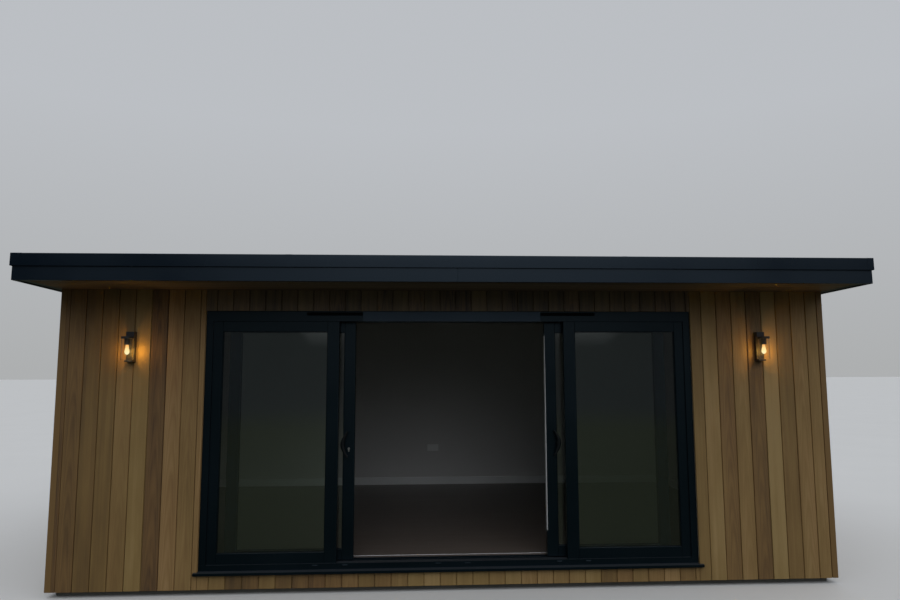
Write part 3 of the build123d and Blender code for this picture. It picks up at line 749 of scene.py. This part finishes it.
def boardRun(name, low, high, first, bottom, topAt, place, thickness, tones=None, slotName="cedar", **own):
    # boards side by side along local X, upright along local Z, facing local -Y
    sizes = {**boards, **own}
    rows = []
    for left, right, index in cuts(low, high, first, sizes["cover"]):
        top = min(topAt(left), topAt(right))
        step = sizes.get("length", 2 * (top - bottom))
        start, end = bottom, top
        if "length" in sizes:
            end = bottom + step * (1 - index * sizes["stagger"] % 1)
        while start < top - boards["shortest"]:
            end = min(end, top)
            if tones:
                tone = int(tones[(index + 1) % len(tones)]) / 9
            else:
                tone = toneRandom.triangular(*boards["otherTones"])
            rows.append(((left + right) / 2, start, right - left, end - start - sizes["joint"], tone))
            start, end = end, end + step
    plan = bpy.data.meshes.new(name)
    plan.from_pydata([(row[0], 0, row[1]) for row in rows], [], [])
    tall = max(row[3] for row in rows)
    for label, column in (("boardWidth", 2), ("boardHeight", 3), ("boardTone", 4)):
        plan.attributes.new(label, "FLOAT", "POINT").data.foreach_set("value", [row[column] for row in rows])
    values = {label.capitalize(): sizes[label] for label in ("cover", "gap", "chamfer", "tongue", "proud")}
    values.update({"Thickness": thickness, "Height": tall, "Seed": toneRandom.randrange(1000),
                   "Finish": finishes[slotName]})
    piece = runTree(boardGroup, newObject(name, plan), values)
    piece.data.transform(place)
    return piece


frontLow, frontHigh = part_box("front_cladding_left")
rearLow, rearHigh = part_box("rear_cladding")
leftLow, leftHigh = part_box("left_cladding")
rightLow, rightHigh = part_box("right_cladding")
boardDepth = frontHigh.y - frontLow.y
roofFall = (frontHigh.z - rearHigh.z) / (rearLow.y - frontLow.y)


def wallTop(y):
    return frontHigh.z - roofFall * (y - frontLow.y) - boards["topGap"]


def facing(turn, origin):
    return Matrix.Translation(origin) @ Matrix.Rotation(math.radians(turn), 4, "Z")


for part in ("left", "header", "plinth", "right"):
    nodeName = f"front_cladding_{part}"
    low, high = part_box(nodeName)
    top = min(high.z, frontHigh.z) - boards["topGap"]
    tones = boards["headerShadeTones" if part == "header" else "frontTones"]
    piece = boardRun(f"{nodeName}_boards", low.x, high.x, boards["firstEdge"], low.z, lambda x: top,
                     facing(0, (0, frontLow.y, 0)), boardDepth, tones)
    settle(piece, "building", "cedar", nodeName, finish=headerCedar if part == "header" else None)

piece = boardRun("rear_boards", -rearHigh.x, -rearLow.x, boards["firstEdge"], rearLow.z,
                 lambda x: wallTop(rearHigh.y), facing(180, (0, rearHigh.y, 0)), boardDepth)
settle(piece, "building", "cedar", "rear_cladding")
piece = boardRun("left_boards", -leftHigh.y, -leftLow.y, boards["sideEdge"] - leftHigh.y, leftLow.z,
                 lambda x: wallTop(-x), facing(-90, (leftLow.x, 0, 0)), boardDepth)
settle(piece, "building", "cedar", "left_cladding")
piece = boardRun("right_boards", rightLow.y, rightHigh.y, rightLow.y + boards["sideEdge"], rightLow.z,
                 lambda x: wallTop(x), facing(90, (rightHigh.x, 0, 0)), boardDepth)
settle(piece, "building", "cedar", "right_cladding")
print("wall boards made")

corner = {"ease": 0.0025, "tone": 0.42, "seed": 7.0}
corners = eased("corner_boards_eased", corner["ease"], "corner_boards")
addGrain(corners, "z", corner["tone"], corner["seed"])
settle(corners, "building", "cedar", "corner_boards")

# Soffit boards run along the eaves
soffit = {"gap": 0.004, "chamfer": 0.002, "tongue": 0.006}
soffitLow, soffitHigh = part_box("front_soffit")
soffitDepth = 0.018
blackSoffit = {"ease": 0.0015, "endEase": 0.001, "clear": 0.0005}
backSoffit = {"ease": 0.0015, "tone": 0.55, "seed": 5.0}
lean = Matrix.Rotation(-math.atan(roofFall), 4, "X")
underside = frontHigh.z


def eavesMatrix():
    # local X goes back along the slope, local Z to the right, and the face looks down
    turn = Matrix(((0, 0, 1, 0), (1, 0, 0, 0), (0, 1, 0, 0), (0, 0, 0, 1)))
    return Matrix.Translation((0, frontLow.y, underside)) @ lean @ turn


wallSide = rightHigh.x
eavesFront, eavesBack = soffitLow.y - frontLow.y, soffitHigh.y - frontLow.y
piece = boardRun("front_soffit_boards", eavesFront, eavesBack, eavesFront, -wallSide, lambda x: wallSide,
                 eavesMatrix(), soffitDepth, **soffit)
settle(piece, "building", "cedar", "front_soffit", finish=soffitCedar)


def sideSoffits():
    # the side overhangs are boxed in black, right up to the front fascia
    clear = blackSoffit["clear"]
    ends = bmesh.new()
    for side in (-1, 1):
        inner, outer = sorted((side * (wallSide + clear), side * soffitHigh.x))
        addBlock(ends, (inner, eavesFront, 0), (outer, eavesBack - clear, soffitDepth))
    ends = beveled(fromBmesh("soffit_ends", ends), blackSoffit["endEase"])
    ends.data.transform(Matrix.Translation((0, frontLow.y, underside)) @ lean)
    sides = eased("side_soffits_eased", blackSoffit["ease"], "side_soffits")
    return joined("side_soffits_boxed", sides, ends)


settle(sideSoffits(), "building", "fascia_black", "side_soffits")
rearSoffit = eased("rear_soffit_eased", backSoffit["ease"], "rear_soffit")
addGrain(rearSoffit, "x", backSoffit["tone"], backSoffit["seed"])
settle(rearSoffit, "building", "cedar", "rear_soffit")
print("soffit boards made")

# Floor boards run along the room
floorLow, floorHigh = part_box("floor_boards")
plank = {"cover": 0.19, "gap": 0.0004, "chamfer": 0.0002, "tongue": 0.004, "proud": 0.0,
         "length": 2.2, "joint": 0.0004}
turn = Matrix(((0, 0, 1, 0), (-1, 0, 0, 0), (0, -1, 0, 0), (0, 0, 0, 1)))
piece = boardRun("floor_planks", -floorHigh.y, -floorLow.y, -floorHigh.y, floorLow.x, lambda x: floorHigh.x,
                 Matrix.Translation((0, 0, floorHigh.z)) @ turn, floorHigh.z - floorLow.z,
                 slotName="dark_oak", **plank)
settle(piece, "building", "dark_oak", "floor_boards")
print("floor planks made")

# Roof edge: the upper trim with its corner caps and joint straps, the lower fascia in two lengths
beyond = 3.3                 # further out than the roof reaches
roofEdge = {
    "inset": 0.0007,         # how far the trim stands behind its caps
    "frontCaps": ((-beyond, -3.167), (-1.27, -1.22), (1.27, 1.31), (3.197, beyond)),
    "sideCaps": ((-2.4, -2.25), (1.78, 1.9)),
    "ease": 0.0015,
    "capEase": 0.0006,
    "fasciaJoint": 0.013,
    "seams": (-2.0, -0.7, 0.6, 1.9),
    "seamHalf": 0.03,
    "seamRise": 0.0012,
    "seamEase": 0.0005,
}


def roofTrims():
    inset = roofEdge["inset"]
    for nodeName in ("front_trim", "left_trim", "right_trim"):
        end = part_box(nodeName)[1].x
        piece = eased(f"{nodeName}_run", roofEdge["ease"], nodeName)
        narrow = Matrix.Scale((end - inset) / end, 4, (1, 0, 0)) if "front" in nodeName else Matrix()
        sideways = inset if "left" in nodeName else -inset if "right" in nodeName else 0
        piece.data.transform(Matrix.Translation((sideways, inset, -inset)) @ narrow)
        settle(piece, "building", "trim_black", nodeName)
    ease = roofEdge["capEase"]
    caps = [slices("front_caps", "front_trim", roofEdge["frontCaps"], ease)]
    for side in ("left", "right"):
        caps.append(slices(f"{side}_caps", f"{side}_trim", roofEdge["sideCaps"], ease, axis=1))
    settle(joined("trim_caps", *caps), "building", "trim_black")


roofTrims()
joint = roofEdge["fasciaJoint"]
spans = ((-beyond, joint), (joint, beyond))
lengths = slices("front_fascia_lengths", "front_fascia", spans, roofEdge["ease"])
settle(lengths, "building", "fascia_black", "front_fascia")
half = roofEdge["seamHalf"]
spans = [(x - half, x + half) for x in roofEdge["seams"]]
seams = slices("membrane_seams", "roof_membrane", spans, roofEdge["seamEase"])
seams.data.transform(Matrix.Translation((0, 0, roofEdge["seamRise"])))
settle(seams, "building", "membrane")

# Straps that carry the gutter
strap = {
    "gutter": 0.056,         # the gutter's outer radius
    "inner": 0.0562,
    "outer": 0.0590,
    "half": 0.011,
    "ease": 0.0006,
    "start": 180,            # degrees, from the fascia
    "sweep": 160,
    "steps": 24,
    "first": -2.95,
    "pitch": 0.81,
    "count": 8,
}


def gutterStrap():
    # a strap from the fascia round under the gutter, ending below its outer rim
    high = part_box("rear_gutter")[1]
    half, inner, outer = strap["half"], strap["inner"], strap["outer"]
    section = ((-half, inner), (half, inner), (half, outer), (-half, outer))
    middle = high.y - strap["gutter"]
    work = bmesh.new()
    rings = []
    for step in range(strap["steps"] + 1):
        angle = math.radians(strap["start"] + strap["sweep"] * step / strap["steps"])
        rings.append([work.verts.new((x, middle + r * math.cos(angle), high.z + r * math.sin(angle)))
                      for x, r in section])
    addSkin(work, rings)
    return beveled(fromBmesh("gutter_strap", work), strap["ease"])


spots = [(strap["first"] + strap["pitch"] * i, 0, 0) for i in range(strap["count"])]
copies("gutter_straps", gutterStrap(), spots, "building", "gutter_black")
print("roof edge made")

# Door frame and what else only wants softer edges, with the edges' widths in millimetres
easedNodes = {
    "building": {
        "left_fascia": 2.0, "right_fascia": 2.0, "rear_fascia": 2.0,
        "rear_gutter": 0.6, "rear_downpipe": 0.6,
        "door_sill": 0.8, "door_jambs": 0.4, "fixed_sash_stiles": 0.4, "fixed_sash_rails": 0.4,
        "skirting": 1.5, "wall_socket": 1.5, "base_slab": 8.0, "lamp_brackets": 1.5,
    },
    "left_leaf": {"left_leaf_stiles": 0.4, "left_leaf_rails": 0.4, "left_leaf_lock": 0.7},
    "right_leaf": {"right_leaf_stiles": 0.4, "right_leaf_rails": 0.4},
}
for body, widths in easedNodes.items():
    for nodeName, millimetres in widths.items():
        piece = eased(f"{nodeName}_eased", millimetres / 1000, nodeName)
        settle(piece, body, slotOf[nodeName], nodeName)

# The cill with its horns, the narrow nosing of the threshold, and the head in lengths
doorway = {
    "cillHalf": 2.028,       # with the horns past the frame
    "cillEase": 0.0015,
    "nosing": (-1.64, -1.618),
    "nosingEase": 0.0008,
    "headMiddle": 0.735,     # between the vents the head is a lighter blue-grey, a painted reflection of the sky
    "headEnd": 2.1,
    "headEase": 0.0004,
    "ventEase": 0.001,
}
cill = eased("door_cill_horned", doorway["cillEase"], "door_cill")
cill.data.transform(Matrix.Scale(doorway["cillHalf"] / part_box("door_cill")[1].x, 4, (1, 0, 0)))
settle(cill, "building", "frame_black", "door_cill")
strip = slices("threshold_nosing", "threshold_strip", (doorway["nosing"],), doorway["nosingEase"], axis=1)
settle(strip, "building", "bright_strip", "threshold_strip")
middle, end, ease = doorway["headMiddle"], doorway["headEnd"], doorway["headEase"]
headEnds = slices("door_head_ends", "door_head", ((-end, -middle), (middle, end)), ease)
settle(headEnds, "building", "frame_black", "door_head")
headMiddle = slices("door_head_middle", "door_head", ((-middle, middle),), ease)
settle(headMiddle, "building", "frame_black", finish=trackGrey)
# the vents carry painted shade of their slots
vents = eased("head_vents_eased", doorway["ventEase"], "head_vents")
settle(vents, "building", "frame_black", "head_vents", finish=ventBlack)
print("edges eased")

# Covers over the drain slots, each with a top that sheds water
cover = {
    "half": 0.021,
    "low": 0.2025,
    "lip": 0.2085,
    "high": 0.2150,
    "proud": 0.005,
    "ease": 0.001,
    "pairs": (-0.975, 0, 0.975),     # the middle of each pair of slots
    "shift": 0.1175,
}
low, lip, high, proud = cover["low"], cover["lip"], cover["high"], cover["proud"]
section = ((0, low), (-proud, low), (-proud, lip), (0, high))
work = bmesh.new()
addSkin(work, [[work.verts.new((x, y, z)) for y, z in section] for x in (-cover["half"], cover["half"])])
blank = beveled(fromBmesh("drain_cover", work), cover["ease"])
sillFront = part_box("door_sill")[0].y
spots = [(pair + side * cover["shift"], sillFront, 0) for pair in cover["pairs"] for side in (-1, 1)]
copies("drain_covers", blank, spots, "building", "frame_black", finish=coverBlack)

# Rubber gaskets round the panes, on both faces
gasket = {
    "bite": 0.012,           # how much of the pane the sash covers
    "width": 0.004,
    "proud": 0.0015,
    "sunk": 0.0005,
    "ease": 0.0005,
    "fixedInner": 1.0255,    # where the fixed panes show, on either side
    "fixedOuter": 1.868,
}
inner, outer = gasket["fixedInner"], gasket["fixedOuter"]
panes = {
    "building": ("fixed_glass", ((-outer, -inner), (inner, outer))),
    "left_leaf": ("left_leaf_glass", None),
    "right_leaf": ("right_leaf_glass", None),
}
for body, (nodeName, spans) in panes.items():
    low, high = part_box(nodeName)
    bite, wide, proud, sunk = gasket["bite"], gasket["width"], gasket["proud"], gasket["sunk"]
    bottom, top = low.z + bite, high.z - bite
    work = bmesh.new()
    for left, right in spans or ((low.x + bite, high.x - bite),):
        for front, back in ((low.y - proud, low.y + sunk), (high.y - sunk, high.y + proud)):
            addBlock(work, (left, front, bottom), (right, back, bottom + wide))
            addBlock(work, (left, front, top - wide), (right, back, top))
            addBlock(work, (left, front, bottom + wide), (left + wide, back, top - wide))
            addBlock(work, (right - wide, front, bottom + wide), (right, back, top - wide))
    settle(beveled(fromBmesh(f"{nodeName}_gaskets", work), gasket["ease"]), body, "frame_black")
print("drain covers and gaskets made")

# Handles: a crescent, thick in the middle and thin at its tips, on two round feet
bow = {
    "left_leaf_handle": {"tip": -0.852, "side": -1},
    "right_leaf_handle": {"tip": 0.8385, "side": 1},
}
crescent = {
    "low": 1.032,
    "high": 1.248,
    "outer": 0.054,          # how far its outer and its inner edge bow out
    "inner": 0.031,
    "tipHalf": 0.0055,
    "tipShare": 0.07,        # the share at either end where it rounds off
    "tipLeast": 0.02,
    "depth": 0.0065,
    "swell": 0.0015,
    "foot": 0.0065,          # radius of the feet
    "footInset": 0.013,
    "footAside": 0.009,
    "footStart": 0.008,
    "footBite": 0.0002,      # how far they sink into the stile
    "around": 14,
    "steps": 40,
    "ease": 0.0008,
}


def crescentHandle(name, tip, side):
    low, high = crescent["low"], crescent["high"]
    front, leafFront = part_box(name)[0].y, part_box(name)[1].y
    around, steps = crescent["around"], crescent["steps"]
    work = bmesh.new()
    rings = []
    for step in range(steps + 1):
        t = step / steps
        arch = math.sin(math.pi * t)
        near = max(0.0, abs(2 * t - 1) - 1 + crescent["tipShare"]) / crescent["tipShare"]
        taper = math.sqrt(max(crescent["tipLeast"], 1 - near * near))
        outer = crescent["tipHalf"] * taper + crescent["outer"] * arch
        inner = -crescent["tipHalf"] * taper + crescent["inner"] * arch
        half, middle = (outer - inner) / 2, (outer + inner) / 2
        depth = (crescent["depth"] + crescent["swell"] * arch) * taper
        centre = front + crescent["depth"] + crescent["swell"]
        ring = []
        for turn in range(around):
            angle = math.tau * turn / around
            ring.append(work.verts.new((tip + side * (middle + half * math.cos(angle)),
                                        centre + depth * math.sin(angle), low + (high - low) * t)))
        rings.append(ring)
    addSkin(work, rings)
    foot, start = crescent["foot"], front + crescent["footStart"]
    for z in (low + crescent["footInset"], high - crescent["footInset"]):
        reach = Matrix.Translation((tip + side * crescent["footAside"], (start + leafFront) / 2, z))
        length = leafFront + crescent["footBite"] - start
        bmesh.ops.create_cone(work, cap_ends=True, segments=24, radius1=foot, radius2=foot, depth=length,
                              matrix=reach @ Matrix.Rotation(math.pi / 2, 4, "X"))
    return beveled(fromBmesh(f"{name}_bow", work), crescent["ease"])


for nodeName, spot in bow.items():
    body = nodeName.replace("_handle", "")
    settle(crescentHandle(nodeName, spot["tip"], spot["side"]), body, "handle_black", nodeName)

# The seal's pale edge shows round the front corner of the right panel
seal = {
    "proud": 0.0004,         # past the stile's end
    "edgeFront": 0.0095,
    "edgeBack": 0.0070,
    "edgeWrap": 0.0012,
    "pileFront": 0.0080,
    "pileDepth": 0.0020,
    "pileShort": 0.001,
    "ease": 0.0008,
}
sealLow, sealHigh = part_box("right_leaf_seal")
left, short = sealLow.x - seal["proud"], seal["pileShort"]
work = bmesh.new()
addBlock(work, (left, sealLow.y - seal["edgeFront"], sealLow.z),
         (sealHigh.x + seal["edgeWrap"], sealLow.y - seal["edgeBack"], sealHigh.z))
addBlock(work, (left, sealLow.y - seal["pileFront"], sealLow.z + short),
         (sealLow.x + seal["pileDepth"], sealHigh.y, sealHigh.z - short))
settle(beveled(fromBmesh("seal_edge", work), seal["ease"]), "right_leaf", "seal_grey", "right_leaf_seal")
print("handles and seal made")

# Lamps: turned glass and bulb, a light in the bulb, and two beside it for its warm glow on the boards
lamp = {
    "glow": (1.0, 0.51, 0.07),       # the light's colour
    "power": 0.42,           # the light inside the bulb
    "size": 0.012,
    "below": 0.056,          # how far it hangs below the bulb's top
    "left": (0.11, 0.23),    # the lights on either side of the left lamp, and of the right one
    "right": (0.03, 0.175),
    "spread": 0.030,
    "aside": 0.070,
    "off": 0.055,            # how far they stand off the boards
    "bulb": 0.0180,
    "neck": 0.0105,
    "neckEnd": 0.10,         # shares of the bulb's height, from its top
    "swell": 0.56,
    "round": 0.68,
    "bulbSteps": 24,
    "bulbSides": 32,
    "bulbHalf": 0.020,       # the CAD bulb's radius
    "glass": 0.0440,
    "wall": 0.0030,
    "glassSides": 96,
    "glassEase": 0.0007,
}
bulbLow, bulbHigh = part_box("lamp_bulbs")
glassLow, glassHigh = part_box("lamp_glasses")
lampX = bulbHigh.x - lamp["bulbHalf"]
lampY = (bulbLow.y + bulbHigh.y) / 2


def bulbProfile():
    # the neck widens to the bulb, which ends in a half round
    neck, bulb, steps = lamp["neck"], lamp["bulb"], lamp["bulbSteps"]
    points = [(0.0, bulbHigh.z), (neck, bulbHigh.z)]
    for step in range(1, steps + 1):
        t = step / steps
        rise = min(max((t - lamp["neckEnd"]) / lamp["swell"], 0.0), 1.0)
        radius = neck + (bulb - neck) * rise * rise * (3 - 2 * rise)
        if t > lamp["round"]:
            radius = bulb * math.sqrt(max(0.0, 1 - ((t - lamp["round"]) / (1 - lamp["round"])) ** 2))
        points.append((radius, bulbHigh.z - t * (bulbHigh.z - bulbLow.z)))
    return points


def lampPieces():
    bulbs, glasses = bmesh.new(), bmesh.new()
    outer, inner = lamp["glass"], lamp["glass"] - lamp["wall"]
    low, high = glassLow.z, glassHigh.z
    tube = ((inner, low), (outer, low), (outer, high), (inner, high))
    for side in (-1, 1):
        turned(bulbs, bulbProfile(), (side * lampX, lampY), lamp["bulbSides"], closed=False)
        turned(glasses, tube, (side * lampX, lampY), lamp["glassSides"])
    bmesh.ops.remove_doubles(bulbs, verts=bulbs.verts, dist=merge["cut"])
    bulbs = fromBmesh("bulbs_turned", bulbs)
    bulbs.data.shade_smooth()
    glasses = beveled(fromBmesh("glasses_turned", glasses), lamp["glassEase"])
    for piece, nodeName in ((bulbs, "lamp_bulbs"), (glasses, "lamp_glasses")):
        settle(piece, "building", slotOf[nodeName], nodeName)
        piece.visible_shadow = False


def glow(x, y, power, size, seen):
    # seen says whether gloss and glass show it
    data = bpy.data.lights.new("lampGlow", "POINT")
    data.color = lamp["glow"]
    data.energy = power
    data.shadow_soft_size = size
    source = bpy.data.objects.new("lampGlow", data)
    source.location = (x, y, bulbHigh.z - lamp["below"])
    source.visible_glossy = seen
    source.visible_transmission = seen
    scene.collection.objects.link(source)


lampPieces()
for x, powers in ((-lampX, lamp["left"]), (lampX, lamp["right"])):
    glow(x, lampY, lamp["power"], lamp["size"], True)
    for aside, power in zip((-lamp["aside"], lamp["aside"]), powers):
        glow(x + aside, frontLow.y - lamp["off"], power, lamp["spread"], False)
print("lamps lit")
